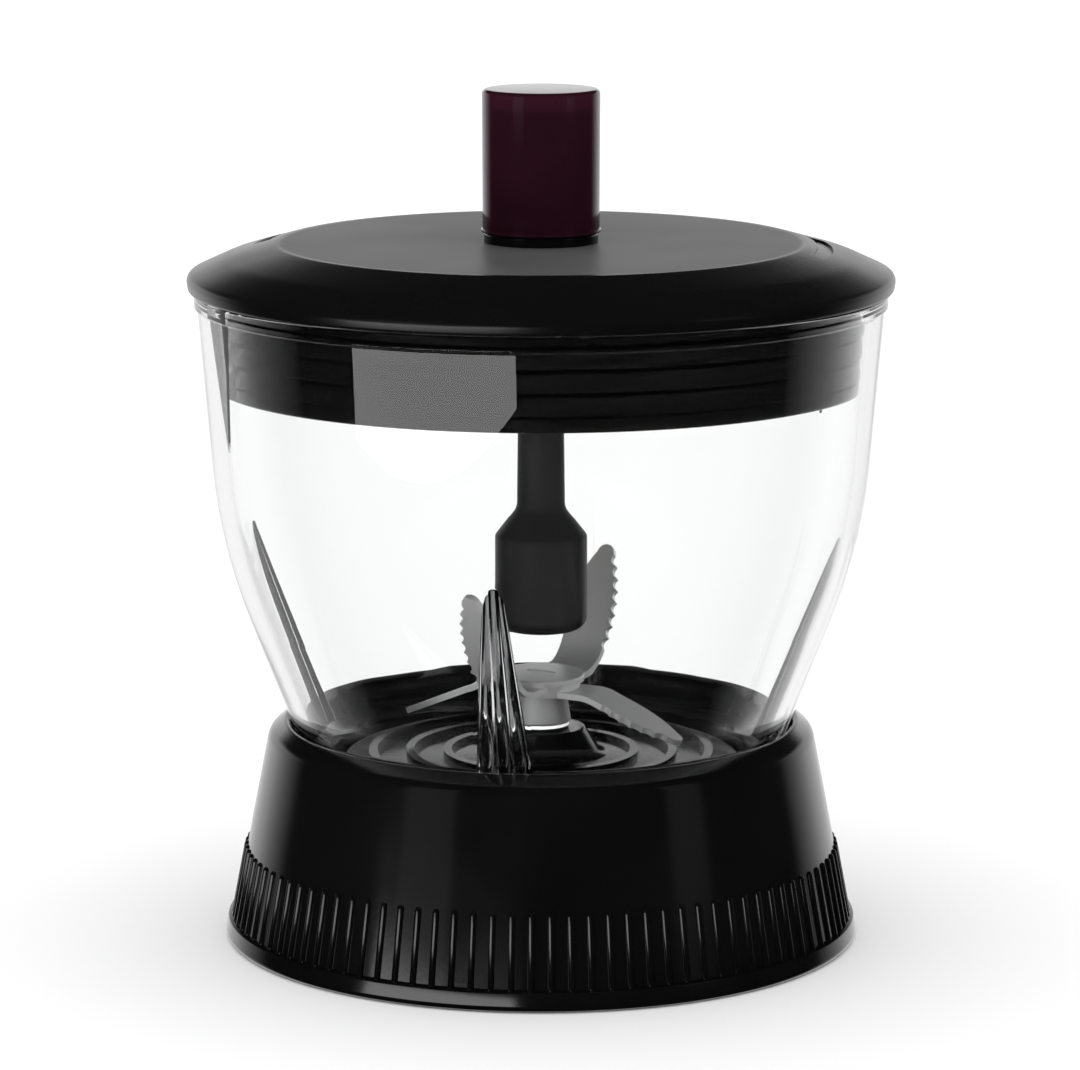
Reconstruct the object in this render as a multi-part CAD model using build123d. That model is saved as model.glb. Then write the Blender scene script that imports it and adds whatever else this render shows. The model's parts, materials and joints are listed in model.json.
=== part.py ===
from build123d import *
from math import hypot
import os

# Chopper jar of a food processor. The origin is the centre of the collar's foot, on the table,
# and +Z runs up the drive axis. Every size is in millimetres.

# ---- collar: the ribbed foot that stands on the table or twists onto the motor unit
collar_foot_r = 59.35           # corner of the foot before it is rounded
collar_h = 40.9
collar_slope = 0.192            # radius lost for each millimetre of height
collar_wall = 2.4
band_h = 3.5                    # plain band under the grip ribs
band_chamfer = 0.25
band_step = 1.2                 # how far the band stands out of the ribbed wall
foot_rounding = 1.0
shoulder_drop = 2.5             # fall of the top face from its lip to its outer edge
shoulder_r = 3.0
lip_rounding = 0.8
lip_r = 46.7                    # bore of the collar's lip, round the jar's foot
lip_wall = 1.6
lip_depth = 9.4
spigot_bore_r = 54.0            # register that centres the motor unit
spigot_bore_h = 9.0
lug_count = 4
lug_depth = 2.6                 # how far a lug reaches in past the register
lug_width = 15.0
lug_h = 3.0
lug_gap = 1.0                   # the lugs start this far above the register

# ---- grip ribs
rib_count = 100
rib_r = 0.63
rib_top_z = 17.1

# ---- collar fastening
screw_count = 4
screw_ring_r = 49.0
screw_r = 1.3
screw_len = 12.0
screw_head_r = 2.5
screw_head_h = 1.8
boss_r = 2.3
boss_foot_z = 15.0
boss_h = 18.0
ear_r = 3.2
cross_w = 0.8
cross_depth = 0.9

# ---- glass jar
glass = 2.9
neck_r = 41.0
neck_foot_z = 22.0
neck_top_z = 33.5
jar_foot_r = 45.9
jar_foot_z = 38.9
belly_r = 59.52
belly_z = 74.27
rim_r = 63.42
rim_z = 121.3
neck_bend = 3.0
foot_bend = 6.0
belly_bend = 105.0
bead_r = 63.8
bead_h = 2.8
bead_rounding = 0.5

# ---- four flow ribs pressed into the jar's wall
fin_count = 4
fin_angle = 261.5
fin_top_z = 75.7
fin_foot_z = 38.0
flute_count = 3                 # each flow rib is a bundle of round flutes that fans out downwards
flute_top_r = 1.2
flute_foot_r = 2.1
flute_top_pitch = 0.8
flute_foot_pitch = 3.1
flute_set_back = 1.0            # the outer flutes lie this much nearer the wall at the foot
fin_foot_radius = 41.6          # distance of the middle flute's foot from the drive axis

# ---- two tapered keyways in the jar's mouth, for the lid's keys
key_angle = 22.0
key_w = 7.7
key_shoulder_z = 117.0
key_tip_z = 94.4
key_depth = 1.4
key_clear = 0.35
tab_share = 0.6                  # share of the keyway's taper that the lid's key fills

# ---- blade carrier: the black floor of the jar
thread_clear = 0.6
carrier_flange_h = 3.0
gasket_h = 2.0
plug_clear = 0.6
floor_z = 33.5
floor_wall = 2.4
floor_rise = 0.9
floor_ring_radii = (17.5, 24.5, 31.5)
floor_ring_w = 1.6
floor_ring_h = 0.8
ledge_h = 3.0
ledge_chamfer = 1.0
ledge_overlap = 7.0
sleeve_wall = 3.0
sleeve_top_z = 34.0
hub_r = 7.5
hub_foot_z = 13.0
hub_top_z = 39.4
bush_wall = 1.6
bush_h = 6.0
seal_r = 6.2
seal_h = 2.4

# ---- spindle and drive
spindle_r = 3.0
running_clear = 0.05
face_clear = 0.4                # gap between turning and standing faces
square_w = 4.2
square_clear = 0.03
washer_r = 5.2
washer_h = 0.6
circlip_r = 4.3
circlip_h = 0.8
circlip_groove = 0.5
coupler_r = 9.0
coupler_foot_z = 1.6
coupler_h = 9.4
socket_r = 6.0
socket_depth = 4.2
spline_count = 4
spline_w = 2.0
spline_depth = 1.2
coupler_screw_r = 1.25
coupler_screw_len = 6.0
coupler_head_r = 2.4
coupler_head_h = 1.6

# ---- blades
spacer_foot_r = 5.6
spacer_top_r = 4.7
blade_seat_z = 46.0
blade_t = 1.1
blade_w = 8.8
blade_hub_r = 7.2
blade_bend = 9.0
lower_bend_r = 11.5             # where the lower blades bend away from the flat hub
lower_reach = 28.8
lower_tip_z = 39.2
lower_angle = -28.0
upper_bend_r = 15.0
upper_reach = 27.6
upper_tip_z = 68.5
edge_belly = 1.5                # how far the serrated edge swells out at its middle
edge_start = 3.5                # the serrated edge starts this far past the bend
back_taper = 15.0               # the smooth back edge sweeps in over this length
back_swell = 1.1
tip_len = 1.6
tip_half_w = 1.7
tooth_r = 1.25
tooth_pitch = 2.2
tooth_bite = 0.6
cap_r = 8.0
cap_h = 1.2
cap_dome = 0.3
slot_w = 0.9
slot_len = 5.6
slot_depth = 0.45

# ---- lid
lid_r = 65.2                    # corner of the lid's edge before it is rounded
lid_edge_z = 124.0
plateau_r = 48.85
plateau_z = 129.8
lid_wall = 2.2
recess_drop = 0.3                # the cover is this much thicker over the seal than on its plateau
lid_edge_rounding = 1.5
plateau_rounding = 2.0
flank_r = 58.2                  # where the flank steepens towards the edge
flank_z = 127.2
flank_rounding = 14.0
mark_depth = 0.5
mark_in_r = 50.6
mark_out_r = 53.6
mark_spans = ((-18.0, 12.0), (150.0, 172.0))

# ---- lid plug and its seal
plug_foot_z = 103.9
plug_foot_h = 2.5
plug_wall = 2.0
seal_bed = 3.2                  # radial thickness of the seal under its lips
lip_count = 3
lip_clearance = 0.35
lip_notch = 1.3
seal_top_z = 119.0
port_r = 9.0
port_wall = 2.0
snap_wall = 1.8
snap_depth = 4.5

# ---- pusher
grommet_r = 10.5
grommet_h = 1.9
grommet_bore = 9.1
knob_r = 10.85
knob_top_z = 157.9
knob_wall = 1.7
knob_flange_r = 11.05
knob_flange_h = 0.6
knob_rounding = 0.9
core_clear = 0.15
port_plug_clear = 0.3
port_plug_foot_z = 112.0
stem_top_r = 4.15
stem_foot_r = 4.5
stem_foot_z = 80.5
head_r = 8.6
head_top_z = 75.2
head_foot_z = 57.5
head_rounding = 2.7
oring_r = 0.9
oring_z = 123.0

# ---- sizes that follow
sleeve_bore_r = neck_r + thread_clear
sleeve_r = sleeve_bore_r + sleeve_wall
neck_bore_r = neck_r - glass
carrier_r = sleeve_bore_r - thread_clear
carrier_plug_r = neck_bore_r - plug_clear
gasket_z = neck_foot_z - gasket_h
carrier_foot_z = gasket_z - carrier_flange_h
ledge_z = carrier_foot_z - ledge_h
ledge_bore_r = carrier_r - ledge_overlap
ear_z = ledge_z - ledge_h + ledge_chamfer
body_foot_r = collar_foot_r - band_step
bush_r = spindle_r + running_clear + bush_wall
cap_z = blade_seat_z + 2 * blade_t
thrust_z = hub_top_z + face_clear
lower_washer_z = hub_foot_z - face_clear - washer_h
circlip_z = lower_washer_z - circlip_h
web_z = coupler_foot_z + socket_depth
spindle_foot_z = web_z + coupler_head_h
port_ring_z = plateau_z - lid_wall
grommet_top_z = plateau_z + grommet_h
key_half = key_w / 2


def turned(*corners):
    """Solid of revolution about Z. A corner is (r, z) or (r, z, rounding)."""
    points = [corner[:2] for corner in corners]
    radii = [corner[2] if len(corner) == 3 else 0 for corner in corners]
    outline = FilletPolyline(*points, radius=radii, close=True)
    return revolve(Plane.XZ * make_face(outline), Axis.Z)


def tube(outer_r, inner_r, foot_z, height):
    """Plain ring of square section."""
    return turned((inner_r, foot_z), (outer_r, foot_z), (outer_r, foot_z + height), (inner_r, foot_z + height))


def disc(radius, foot_z, height):
    """Plain round plate."""
    return Pos(0, 0, foot_z) * Cylinder(radius, height, align=(Align.CENTER, Align.CENTER, Align.MIN))


def bar(length, width, foot_z, height):
    """Rectangular bar centred on the drive axis."""
    return Pos(0, 0, foot_z) * Box(length, width, height, align=(Align.CENTER, Align.CENTER, Align.MIN))


def around(piece, count, first_angle=0.0):
    """The piece repeated evenly round the drive axis."""
    return [Rot(0, 0, first_angle + 360 * i / count) * piece for i in range(count)]


def frustum_between(start, end, start_r, end_r):
    """Cone frustum, or cylinder, whose axis runs between two points."""
    run = Vector(*end) - Vector(*start)
    axis = Plane(origin=start, z_dir=run)
    foot = (Align.CENTER, Align.CENTER, Align.MIN)
    if start_r == end_r:
        return axis * Cylinder(start_r, run.length, align=foot)
    return axis * Cone(start_r, end_r, run.length, align=foot)


def collar_wall_r(z):
    """Radius of the collar's ribbed wall at a height."""
    return body_foot_r - collar_slope * z


def jar_outline():
    """Corners and bends of the jar's outside, from the neck's foot to the rim."""
    corners = [(neck_r, neck_foot_z), (neck_r, neck_top_z), (jar_foot_r, jar_foot_z), (belly_r, belly_z), (rim_r, rim_z)]
    bends = [neck_bend, foot_bend, belly_bend]
    return corners, bends


def shifted(line, distance):
    """An open (r, z) line moved to its left by a distance, with its end heights kept on the ends' runs."""
    normals = []
    for (r0, z0), (r1, z1) in zip(line, line[1:]):
        length = hypot(r1 - r0, z1 - z0)
        normals.append((-(z1 - z0) / length, (r1 - r0) / length))
    moved = [(line[0][0] + distance * normals[0][0], line[0][1] + distance * normals[0][1])]
    for (r, z), first, second in zip(line[1:-1], normals, normals[1:]):
        scale = distance / (1 + first[0] * second[0] + first[1] * second[1])
        moved.append((r + scale * (first[0] + second[0]), z + scale * (first[1] + second[1])))
    moved.append((line[-1][0] + distance * normals[-1][0], line[-1][1] + distance * normals[-1][1]))
    return moved


def inset(thickness):
    """The jar's outline moved a wall's thickness towards the drive axis, cut level at the rim."""
    corners, bends = jar_outline()
    moved = shifted(corners, thickness)
    (low_r, low_z), (high_r, high_z) = moved[-2:]
    moved[-1] = (low_r + (high_r - low_r) * (rim_z - low_z) / (high_z - low_z), rim_z)
    return moved, [bends[0] + thickness, bends[1] - thickness, bends[2] - thickness]


def jar_solid(thickness):
    """Solid that fills the jar's outline, moved in by a thickness."""
    corners, bends = inset(thickness) if thickness else jar_outline()
    return turned(
        (0, corners[0][1]),
        corners[0],
        *[(*corner, bend) for corner, bend in zip(corners[1:-1], bends)],
        corners[-1],
        (0, corners[-1][1]),
    )


def bore_r_at(z):
    """Inner radius of the jar at a height above its belly."""
    (low_r, low_z), (high_r, high_z) = inset(glass)[0][-2:]
    return low_r + (high_r - low_r) * (z - low_z) / (high_z - low_z)


def key_prism(half_width, shoulder_z, tip_z):
    """Tapered prism along +X that cuts a keyway, or makes the key that drops into it."""
    outline = Polyline(
        (-half_width, rim_z + 1),
        (half_width, rim_z + 1),
        (half_width, shoulder_z),
        (0, tip_z),
        (-half_width, shoulder_z),
        close=True,
    )
    side = Plane(origin=(0, 0, 0), x_dir=(0, 1, 0), z_dir=(1, 0, 0))
    return extrude(side * make_face(outline), rim_r)


def collar_shell():
    """Ribbed cover of the foot, with the screw bosses and the lugs for the motor unit."""
    edge_z = collar_h - shoulder_drop
    inner_top_z = edge_z - collar_wall
    shell = turned(
        (spigot_bore_r, 0),
        (collar_foot_r, 0, foot_rounding),
        (collar_foot_r - collar_slope * band_h, band_h, 0.3),
        (collar_wall_r(band_h), band_h + band_chamfer),
        (collar_wall_r(edge_z), edge_z, shoulder_r),
        (lip_r + lip_rounding, collar_h, lip_rounding),
        (lip_r, collar_h - lip_rounding, 0.2),
        (lip_r, collar_h - lip_depth),
        (lip_r + lip_wall, collar_h - lip_depth),
        (lip_r + lip_wall, inner_top_z),
        (collar_wall_r(inner_top_z) - collar_wall, inner_top_z),
        (collar_wall_r(spigot_bore_h) - collar_wall, spigot_bore_h),
        (spigot_bore_r, spigot_bore_h),
    )
    boss = Pos(screw_ring_r, 0, 0) * disc(boss_r, boss_foot_z, boss_h)
    hole = Pos(screw_ring_r, 0, 0) * disc(screw_r, boss_foot_z, screw_len)
    lug_z = spigot_bore_h + lug_gap
    lug_out_r = collar_wall_r(lug_z) - collar_wall / 2
    lug_block = Pos(lug_out_r, 0, 0) * bar(4 * lug_depth, lug_width, lug_z, lug_h)
    lug = lug_block & tube(lug_out_r, spigot_bore_r - lug_depth, lug_z, lug_h)
    shell = shell + around(boss, screw_count) + around(lug, lug_count, 180 / lug_count)
    shell = shell - around(hole, screw_count)
    return shell + grip_ribs()


def grip_ribs():
    """Half-round ribs with rounded tops that run down the collar to its plain band."""
    foot_z = band_h - 2 * band_chamfer
    top_z = rib_top_z - rib_r
    foot = (collar_wall_r(foot_z), 0, foot_z)
    top = (collar_wall_r(top_z), 0, top_z)
    rib = frustum_between(foot, top, rib_r, rib_r) + Pos(*top) * Sphere(rib_r)
    return around(rib, rib_count, 360 / rib_count / 2)


def socket_ring():
    """Inner moulding of the collar: the sleeve that takes the jar's neck, and its ledge."""
    ear = Pos(screw_ring_r, 0, 0) * disc(ear_r, ear_z, ledge_h)
    arm = Pos((sleeve_r + screw_ring_r) / 2, 0, 0) * bar(screw_ring_r - sleeve_bore_r, 2 * ear_r, ear_z, ledge_h)
    ring = turned(
        (ledge_bore_r, ledge_z),
        (sleeve_bore_r, ear_z),
        (sleeve_r, ear_z),
        (sleeve_r, sleeve_top_z - 2),
        (lip_r - 0.3, sleeve_top_z - 0.6),
        (lip_r - 0.3, sleeve_top_z),
        (sleeve_bore_r, sleeve_top_z, 0.4),
        (sleeve_bore_r, carrier_foot_z),
        (ledge_bore_r, carrier_foot_z),
    )
    hole = Pos(screw_ring_r, 0, 0) * disc(screw_r + 0.2, 0, boss_foot_z)
    bore = disc(sleeve_bore_r, 0, ledge_z - 1)
    return ring + around(arm + ear - bore, screw_count) - around(hole, screw_count)


def screw(shank_r, head_r, head_h, length, head_z):
    """Cross-head screw that points up, with its head's underside at head_z."""
    body = turned(
        (0, head_z - head_h, 0),
        (head_r, head_z - head_h, head_h / 3),
        (head_r, head_z),
        (shank_r, head_z),
        (shank_r, head_z + length - shank_r),
        (0, head_z + length),
    )
    cross = bar(1.3 * head_r, cross_w, head_z - head_h, cross_depth)
    return body - cross - Rot(0, 0, 90) * cross


def collar_screws():
    """Four screws that hold the socket ring up inside the collar's shell."""
    one = screw(screw_r - 0.02, screw_head_r, screw_head_h, screw_len, ear_z)
    return around(Pos(screw_ring_r, 0, 0) * one, screw_count)


def blade_carrier():
    """Black floor of the jar: flange under the neck, plug inside it, and the bearing hub."""
    hub_wall_r = bush_r
    floor_hub_z = floor_z + floor_rise
    body = turned(
        (hub_wall_r, hub_foot_z),
        (hub_r, hub_foot_z, 0.5),
        (hub_r, floor_z - floor_wall, 1.5),
        (carrier_plug_r - floor_wall, floor_z - floor_wall - 0.4, 1.5),
        (carrier_plug_r - floor_wall, carrier_foot_z),
        (carrier_r, carrier_foot_z, 0.3),
        (carrier_r, gasket_z, 0.3),
        (carrier_plug_r, gasket_z),
        (carrier_plug_r, floor_z, 1.0),
        (hub_r + 4, floor_hub_z, 2.0),
        (hub_r + 0.6, hub_top_z, 0.6),
        (seal_r, hub_top_z),
        (seal_r, hub_top_z - seal_h),
        (hub_wall_r, hub_top_z - seal_h),
    )
    ring_foot_z = floor_z - floor_wall / 2
    ring_h = floor_wall / 2 + floor_rise + floor_ring_h
    rings = [tube(r + floor_ring_w / 2, r - floor_ring_w / 2, ring_foot_z, ring_h) for r in floor_ring_radii]
    return body + rings


def jar_gasket():
    """Flat ring that seals the neck's foot on the carrier's flange."""
    return tube(neck_r, carrier_plug_r, gasket_z, gasket_h)


def bush(foot_z):
    """Sintered bush with a running fit on the spindle."""
    return tube(bush_r, spindle_r + running_clear, foot_z, bush_h)


def upper_bush():
    return bush(hub_top_z - seal_h - bush_h)


def lower_bush():
    return bush(hub_foot_z)


def shaft_seal():
    """Lip seal in the top of the hub."""
    foot_z = hub_top_z - seal_h
    inner_r = spindle_r + running_clear
    return turned(
        (inner_r + 0.8, foot_z),
        (seal_r, foot_z),
        (seal_r, hub_top_z),
        (inner_r + 0.6, hub_top_z),
        (inner_r, hub_top_z - 0.5),
        (inner_r, hub_top_z - 1.1),
    )


def square_end(foot_z, height):
    """Square drive section of the spindle."""
    return bar(square_w, square_w, foot_z, height)


def spindle():
    """Steel spindle: square at both ends, with a circlip groove and two tapped holes."""
    shaft_foot_z = coupler_foot_z + coupler_h
    shaft = disc(spindle_r, shaft_foot_z, blade_seat_z - shaft_foot_z)
    shaft = shaft + square_end(spindle_foot_z, shaft_foot_z - spindle_foot_z)
    shaft = shaft + Rot(0, 0, lower_angle) * square_end(blade_seat_z, 2 * blade_t)
    shaft = shaft - tube(spindle_r + 1, spindle_r - circlip_groove, circlip_z, circlip_h)
    shaft = shaft - disc(coupler_screw_r, spindle_foot_z, coupler_screw_len)
    return shaft - disc(coupler_screw_r, cap_z - coupler_screw_len, coupler_screw_len)


def circlip():
    """Open spring ring in the spindle's groove."""
    ring = tube(circlip_r, spindle_r - circlip_groove, circlip_z, circlip_h)
    gap = Pos(circlip_r, 0, 0) * bar(2 * circlip_r, 2.4, circlip_z, circlip_h)
    return ring - gap


def washer(foot_z):
    """Thrust washer round the spindle."""
    return tube(washer_r, spindle_r + running_clear, foot_z, washer_h)


def thrust_washer():
    return washer(thrust_z)


def lower_washer():
    return washer(lower_washer_z)


def drive_coupler():
    """Moulded drive dog with a splined socket that faces down to the motor."""
    body = turned(
        (0, coupler_foot_z),
        (coupler_r, coupler_foot_z, 0.6),
        (coupler_r, coupler_foot_z + coupler_h, 1.2),
        (0, coupler_foot_z + coupler_h),
    )
    spline = Pos(socket_r, 0, 0) * bar(2 * spline_depth, spline_w, coupler_foot_z, socket_depth)
    body = body - disc(socket_r, coupler_foot_z, socket_depth) - around(spline, spline_count)
    body = body - disc(coupler_head_r + 0.15, web_z, coupler_head_h)
    opening = square_w + 2 * square_clear
    return body - bar(opening, opening, spindle_foot_z, coupler_h)


def coupler_screw():
    """Screw that holds the coupler on the spindle, sunk in its web."""
    return screw(coupler_screw_r - 0.02, coupler_head_r, coupler_head_h - 0.2, coupler_screw_len - 0.3, spindle_foot_z)


def blade_spacer():
    """Tapered sleeve that carries the blades clear of the hub."""
    foot_z = thrust_z + washer_h
    inner_r = spindle_r + running_clear
    return turned(
        (inner_r, foot_z),
        (spacer_foot_r, foot_z, 0.4),
        (spacer_top_r, blade_seat_z),
        (inner_r, blade_seat_z),
    )


def blade_run(bend_r, seat_z, reach, tip_z):
    """Length of a blade beyond its bend."""
    return hypot(reach - bend_r, tip_z - seat_z)


def blade_sheet(bend_r, seat_z, reach, tip_z):
    """Wide strip of sheet steel that leaves the hub flat and bends towards the blade's tip."""
    line = [(0, seat_z), (bend_r, seat_z), (reach, tip_z)]
    side = 1 if tip_z > seat_z else -1
    inner = shifted(line, side * blade_t / 2)
    outer = shifted(line, -side * blade_t / 2)
    outline = FilletPolyline(
        inner[0], inner[1], inner[2], outer[2], outer[1], outer[0],
        radius=[0, blade_bend - blade_t / 2, 0, 0, blade_bend + blade_t / 2, 0],
        close=True,
    )
    return extrude(Plane.XZ * make_face(outline), blade_w, both=True)


def edge_point(length, share):
    """Point of the serrated edge, from its start (0) to the tip (1), as (to the tip, across)."""
    along = (edge_start - length) * (1 - share) - tip_len * share
    across = blade_w / 2 * (1 - share) + tip_half_w * share + 4 * edge_belly * share * (1 - share)
    return along, -across


def blade_outline(length):
    """Flat outline of a blade beyond its bend: smooth back, round tip, swelling front."""
    half_w = blade_w / 2
    back = (-back_taper, half_w)
    back_middle = (-back_taper / 2, (half_w + tip_half_w) / 2 + back_swell)
    tip_back = (-tip_len, tip_half_w)
    tip_front = (-tip_len, -tip_half_w)
    start = edge_point(length, 0)
    edges = [
        Line((-length, half_w), back),
        ThreePointArc(back, back_middle, tip_back),
        ThreePointArc(tip_back, (0, 0), tip_front),
        ThreePointArc(tip_front, edge_point(length, 0.5), start),
        Line(start, (-length, -half_w)),
        Line((-length, -half_w), (-length, half_w)),
    ]
    return make_face(edges)


def blade_pair(bend_r, seat_z, reach, tip_z, angle):
    """Two opposed serrated blades bent from one strip, with a square hole for the spindle."""
    length = blade_run(bend_r, seat_z, reach, tip_z)
    along_r = (reach - bend_r) / length
    along_z = (tip_z - seat_z) / length
    on_blade = Plane(origin=(reach, 0, tip_z), x_dir=(along_r, 0, along_z), z_dir=(-along_z, 0, along_r))
    root = Pos(bend_r / 2, 0, 0) * bar(bend_r, blade_w, seat_z - blade_bend, 2 * blade_bend)
    stencil = on_blade * extrude(blade_outline(length), blade_bend, both=True)
    blade = blade_sheet(bend_r, seat_z, reach, tip_z) & (stencil + root)
    teeth = int((length - edge_start - tip_len) / tooth_pitch)
    for i in range(teeth):
        along, across = edge_point(length, (i + 0.5) / teeth)
        scallop = Pos(along, across + tooth_bite - tooth_r, 0) * Cylinder(tooth_r, 3 * blade_t)
        blade = blade - on_blade * scallop
    opening = square_w + 2 * square_clear
    pair = blade + Rot(0, 0, 180) * blade + disc(blade_hub_r, seat_z - blade_t / 2, blade_t)
    return Rot(0, 0, angle) * (pair - bar(opening, opening, seat_z - blade_t, 2 * blade_t))


def lower_blades():
    """The pair that bends down over the carrier's floor."""
    return blade_pair(lower_bend_r, blade_seat_z + blade_t / 2, lower_reach, lower_tip_z, lower_angle)


def upper_blades():
    """The pair that bends up beside the pusher."""
    return blade_pair(upper_bend_r, blade_seat_z + 1.5 * blade_t, upper_reach, upper_tip_z, lower_angle + 90)


def blade_cap():
    """Slotted cap screw that clamps the blades on the spindle."""
    body = turned(
        (0, cap_z),
        (cap_r, cap_z),
        (cap_r, cap_z + cap_h, 0.4),
        (0, cap_z + cap_h + cap_dome),
    )
    stem = disc(coupler_screw_r - 0.02, cap_z - coupler_screw_len + 0.3, coupler_screw_len)
    slot = bar(slot_len, slot_w, cap_z + cap_h + cap_dome - slot_depth, 1)
    return body + stem - Rot(0, 0, -20) * slot


def flow_rib():
    """The flutes of one flow rib along +X, from the jar's floor to a point high on its wall."""
    wall_r = inset(glass)[0][3][0]
    flutes = []
    for i in range(flute_count):
        lane = i - (flute_count - 1) / 2
        foot = (fin_foot_radius + flute_set_back * abs(lane), flute_foot_pitch * lane, fin_foot_z)
        top = (wall_r, flute_top_pitch * lane, fin_top_z - abs(lane))
        flutes.append(frustum_between(foot, top, flute_foot_r, flute_top_r))
    return flutes


def jar():
    """Clear jar, open at its neck and mouth, with flow ribs and two keyways."""
    hollow = jar_solid(glass)
    for flute in flow_rib():
        hollow = hollow - around(flute, fin_count, fin_angle)
    hollow = hollow + disc(neck_bore_r, neck_foot_z, neck_top_z - neck_foot_z)
    keyway = key_prism(key_half, key_shoulder_z, key_tip_z) & jar_solid(glass - key_depth)
    hollow = hollow + around(keyway, 2, key_angle)
    bead = turned(
        (bore_r_at(rim_z) + 1, rim_z - bead_h),
        (bead_r, rim_z - bead_h, bead_rounding),
        (bead_r, rim_z, bead_rounding),
        (bore_r_at(rim_z) + 1, rim_z),
    )
    return jar_solid(0) + bead - hollow


def lid_cover():
    """Gloss cover of the lid, with grip marks in its sloping flank."""
    recess_r = plug_foot_r() + running_clear
    under_z = flank_z - lid_wall - recess_drop
    cover = turned(
        (grommet_r - 0.5, port_ring_z),
        (plateau_r, port_ring_z),
        (recess_r, under_z),
        (recess_r, rim_z),
        (lid_r - 0.4, rim_z, 0.8),
        (lid_r, lid_edge_z, lid_edge_rounding),
        (flank_r, flank_z, flank_rounding),
        (plateau_r, plateau_z, plateau_rounding),
        (grommet_r - 0.5, plateau_z),
    )
    snap_r = bed_r() - plug_wall - running_clear
    cover = cover + tube(snap_r, snap_r - snap_wall, port_ring_z - snap_depth, snap_depth)
    for first, last in mark_spans:
        cover = cover - flank_mark(first, last)
    tab = key_prism(key_half - key_clear, key_shoulder_z, key_shoulder_z - tab_share * (key_shoulder_z - key_tip_z))
    tab = tab & (jar_solid(glass - key_depth + key_clear) - disc(bore_r_at(seal_top_z) - 0.2, 0, rim_z))
    return cover + [piece & disc(rim_r, 0, rim_z) for piece in around(tab, 2, key_angle)]


def flank_mark(first, last):
    """Shallow curved recess in the flank between two angles."""
    slope = (plateau_z - flank_z) / (flank_r - plateau_r)
    outline = Polyline(
        (mark_in_r, flank_z + slope * (flank_r - mark_in_r) - mark_depth),
        (mark_out_r, flank_z + slope * (flank_r - mark_out_r) - mark_depth),
        (mark_out_r, plateau_z + 1),
        (mark_in_r, plateau_z + 1),
        close=True,
    )
    return Rot(0, 0, first) * revolve(Plane.XZ * make_face(outline), Axis.Z, last - first)


def plug_foot_r():
    """Outer radius of the plug's flanges, just clear of the jar's mouth."""
    return bore_r_at(plug_foot_z) - lip_clearance


def bed_r():
    """Outer radius of the plug's wall, where the seal sits."""
    return plug_foot_r() - seal_bed


def lid_plug():
    """Dish that drops into the jar's mouth, with the pusher's port through it."""
    foot_r = plug_foot_r()
    bed = bed_r()
    return turned(
        (port_r, plug_foot_z, 0.3),
        (foot_r, plug_foot_z, 0.6),
        (foot_r, plug_foot_z + plug_foot_h, 0.3),
        (bed, plug_foot_z + plug_foot_h),
        (bed, seal_top_z),
        (foot_r, seal_top_z),
        (foot_r, rim_z + 0.4),
        (bed - plug_wall, rim_z + 0.4),
        (bed - plug_wall, plug_foot_z + plug_wall, 1.0),
        (port_r + port_wall, plug_foot_z + plug_wall, 1.0),
        (port_r + port_wall, port_ring_z),
        (port_r, port_ring_z),
    )


def lid_seal():
    """Silicone sleeve with three lips that brush the jar's mouth."""
    bed = bed_r()
    foot_z = plug_foot_z + plug_foot_h
    pitch = (seal_top_z - foot_z) / lip_count
    outline = [(bed, foot_z)]
    for i in range(lip_count):
        low_z = foot_z + i * pitch
        lip = bore_r_at(low_z) - lip_clearance
        outline += [(lip - lip_notch, low_z), (lip, low_z + 0.5, 0.2), (lip, low_z + 1.5, 0.4)]
        outline += [(lip - 0.45, low_z + pitch - 0.5, 0.2), (lip - lip_notch, low_z + pitch - 0.2)]
    outline += [(lip - lip_notch, seal_top_z), (bed, seal_top_z)]
    return turned(*outline)


def port_grommet():
    """Black ring pressed into the cover's hole, on which the knob rests."""
    return turned(
        (grommet_bore, port_ring_z),
        (grommet_r - 0.5, port_ring_z),
        (grommet_r - 0.5, plateau_z),
        (grommet_r, plateau_z, 0.2),
        (grommet_r, grommet_top_z, 0.5),
        (grommet_bore, grommet_top_z, 0.3),
    )


def pusher_rod():
    """Moulded rod: core inside the knob, plug in the port, stem and round head."""
    core_r = knob_r - knob_wall - core_clear
    plug_r = port_r - port_plug_clear
    rod = turned(
        (0, head_foot_z),
        (head_r, head_foot_z, head_rounding),
        (head_r, head_top_z, 1.0),
        (stem_foot_r, stem_foot_z, 3.0),
        (stem_top_r, port_plug_foot_z - 2, 1.5),
        (plug_r, port_plug_foot_z, 0.5),
        (plug_r, grommet_top_z),
        (core_r - 0.6, grommet_top_z),
        (core_r - 0.6, knob_top_z - 2 * knob_wall, 0.5),
        (0, knob_top_z - 2 * knob_wall),
    )
    groove_r = port_r - running_clear - 2 * oring_r
    return rod - tube(plug_r + 1, groove_r, oring_z - oring_r, 2 * oring_r)


def pusher_oring():
    """O-ring in the rod's groove, just clear of the port."""
    section_r = oring_r - running_clear
    return Pos(0, 0, oring_z) * Torus(port_r - running_clear - oring_r, section_r)


def pusher_knob():
    """Clear maroon cap pressed over the rod's core."""
    bore = knob_r - knob_wall
    return turned(
        (bore, grommet_top_z),
        (knob_flange_r, grommet_top_z, 0.25),
        (knob_flange_r, grommet_top_z + knob_flange_h, 0.25),
        (knob_r - 0.1, grommet_top_z + knob_flange_h),
        (knob_r, knob_top_z, knob_rounding),
        (0, knob_top_z),
        (0, knob_top_z - 2 * knob_wall),
        (bore, knob_top_z - 2 * knob_wall, 0.5),
    )


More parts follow.
